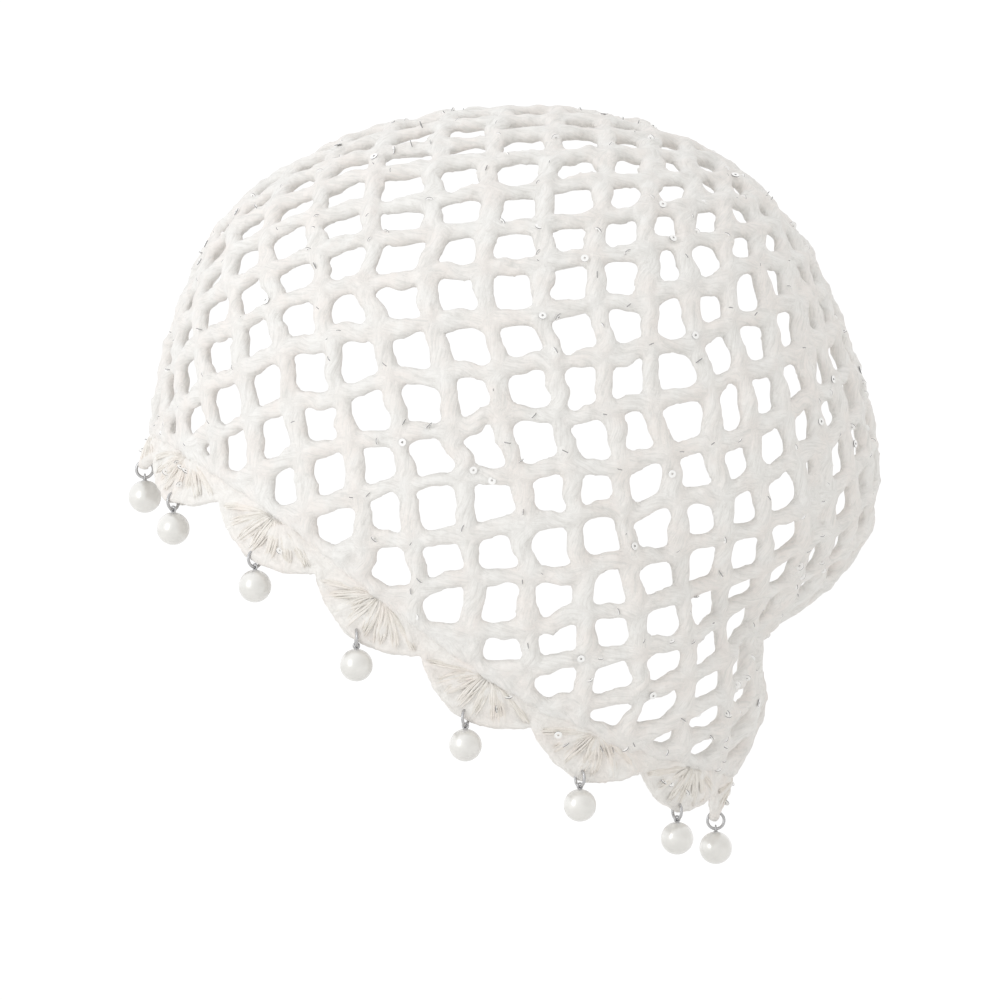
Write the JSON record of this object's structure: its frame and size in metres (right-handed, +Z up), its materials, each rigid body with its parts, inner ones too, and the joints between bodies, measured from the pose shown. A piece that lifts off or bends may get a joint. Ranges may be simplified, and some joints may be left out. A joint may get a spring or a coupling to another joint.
{
  "type": "crochet cap",
  "caption": "Close-fitting open-net crochet cap with a scalloped shell edging hung with pearls on jump rings.",
  "frame": {"origin": "inside of the crown's top on the mid-line, straight above the level of the ears, where the cap sits on the head", "axes": "+Z up as worn, -X the way that the wearer faces, +Y the wearer's side away from the picture's view"},
  "size_m": [0.1947, 0.1554, 0.1971],
  "materials": {
    "yarn": "soft matt off-white yarn",
    "edging_yarn": "soft matt cream yarn in fine radiating stitches",
    "silver_wire": "bright silver-coloured wire",
    "pearl": "satin pearl gloss"
  },
  "bodies": {
    "root": {"net_crown": "yarn", "shell_edging": "edging_yarn", "ring_01": "silver_wire", "ring_02": "silver_wire", "ring_03": "silver_wire", "ring_04": "silver_wire", "ring_05": "silver_wire", "ring_06": "silver_wire", "ring_07": "silver_wire", "ring_08": "silver_wire", "ring_09": "silver_wire", "ring_10": "silver_wire", "ring_11": "silver_wire", "ring_12": "silver_wire", "ring_13": "silver_wire", "ring_14": "silver_wire", "pearl_01": "pearl", "pearl_02": "pearl", "pearl_03": "pearl", "pearl_04": "pearl", "pearl_05": "pearl", "pearl_06": "pearl", "pearl_07": "pearl", "pearl_08": "pearl", "pearl_09": "pearl", "pearl_10": "pearl", "pearl_11": "pearl", "pearl_12": "pearl", "pearl_13": "pearl", "pearl_14": "pearl"}
  },
  "joints": []
}
